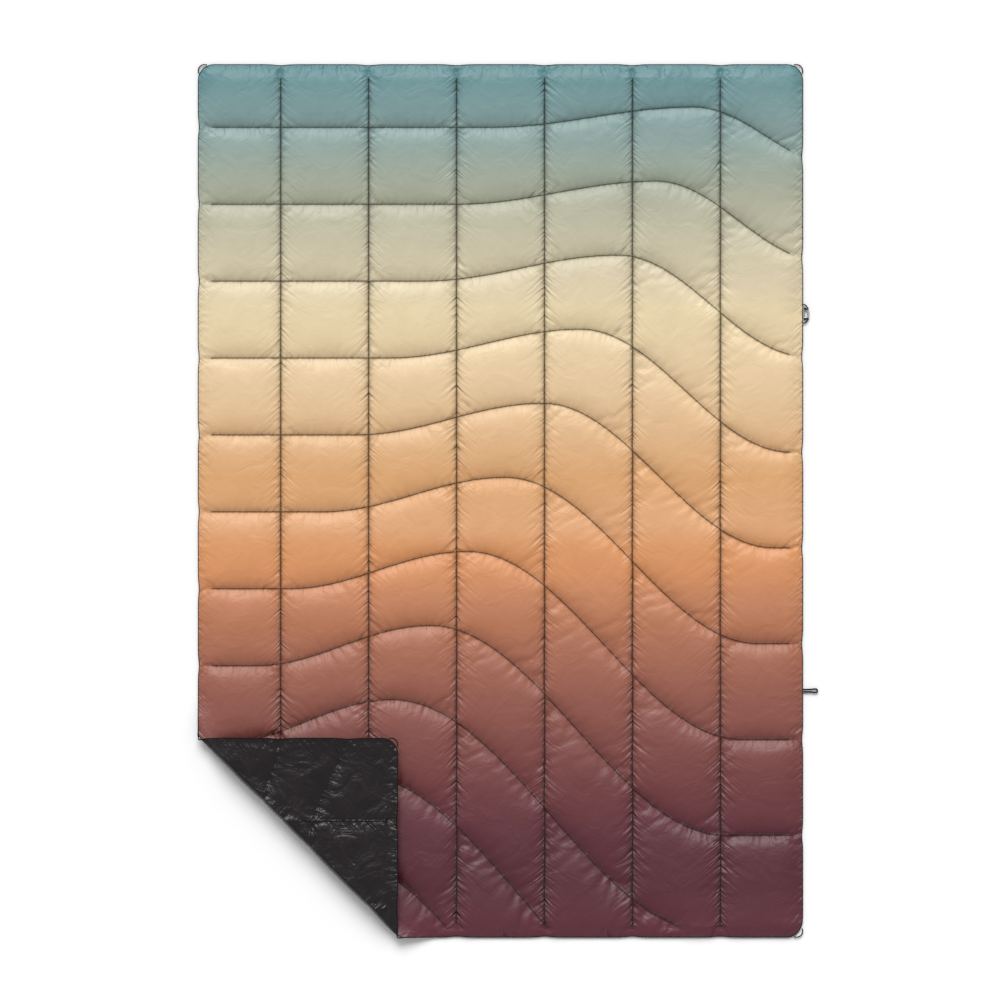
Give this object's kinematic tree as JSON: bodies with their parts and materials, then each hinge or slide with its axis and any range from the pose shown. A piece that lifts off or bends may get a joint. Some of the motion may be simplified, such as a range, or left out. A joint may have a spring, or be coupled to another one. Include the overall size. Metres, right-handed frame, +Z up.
{
  "type": "quilted camp blanket",
  "caption": "Quilted insulated camp blanket lying flat with one corner folded over, wave and column stitching, corner cord loops, and a clip and loop for wearing it as a cape.",
  "frame": {"origin": "middle of the blanket's footprint on the ground, under its back shell, without the cords and the clip that hangs on one", "axes": "+X across the blanket towards the edge with the clip, +Y towards the head (the teal end), +Z up from the ground through the top shell"},
  "size_m": [1.3533, 1.9054, 0.0525],
  "materials": {
    "printed_nylon": "satin woven nylon with a colour fade from teal at the head through sand and orange to plum at the foot",
    "black_nylon": "calendered black woven nylon, slightly glossy",
    "fibre_fill": "lofty polyester fibre",
    "thread": "matte spun polyester thread",
    "edge_piping": "matte black edge cord",
    "black_cord": "matte black braided cord",
    "clip_metal": "satin grey anodised",
    "pin_steel": "satin"
  },
  "bodies": {
    "quilt": {"top_shell": "printed_nylon", "fill": "fibre_fill", "back_shell": "black_nylon", "edge_piping": "edge_piping", "stitch_row_01": "thread", "stitch_row_02": "thread", "stitch_row_03": "thread", "stitch_row_04": "thread", "stitch_row_05": "thread", "stitch_row_06": "thread", "stitch_row_07": "thread", "stitch_row_08": "thread", "stitch_row_09": "thread", "stitch_row_10": "thread", "stitch_row_11": "thread", "stitch_column_1": "thread", "stitch_column_2": "thread", "stitch_column_3": "thread", "stitch_column_4": "thread", "stitch_column_5": "thread", "stitch_column_6": "thread", "loop_head_left": "black_cord", "loop_head_right": "black_cord", "loop_foot_right": "black_cord", "cape_loop": "black_cord"},
    "corner": {"corner_top_shell": "printed_nylon", "corner_fill": "fibre_fill", "corner_back_shell": "black_nylon", "corner_edge_piping": "edge_piping", "corner_stitch_row_10": "thread", "corner_stitch_row_11": "thread", "corner_stitch_column_1": "thread", "corner_stitch_column_2": "thread", "loop_foot_left": "black_cord"},
    "clip": {"clip_body": "clip_metal", "clip_gate_pin": "pin_steel", "clip_cord": "black_cord"},
    "clip_gate": {"clip_gate": "clip_metal"}
  },
  "joints": [
    {"name": "corner_fold", "type": "hinge", "parent": "quilt", "child": "corner", "pos_m": [-0.4415, -0.734, 0.02625], "axis": [0.7071, -0.7071, 0], "range_deg": [0, 179]},
    {"name": "clip_swing", "type": "hinge", "parent": "quilt", "child": "clip", "pos_m": [0.6589, 0.408, 0.004], "axis": [0, -1, 0], "range_deg": [0, 75]},
    {"name": "clip_gate_hinge", "type": "hinge", "parent": "clip", "child": "clip_gate", "pos_m": [0.6626, 0.3976, 0.004], "axis": [0, 0, -1], "range_deg": [0, 14], "stiffness_Nm_per_rad": 0.001, "springref_deg": -5.73}
  ]
}
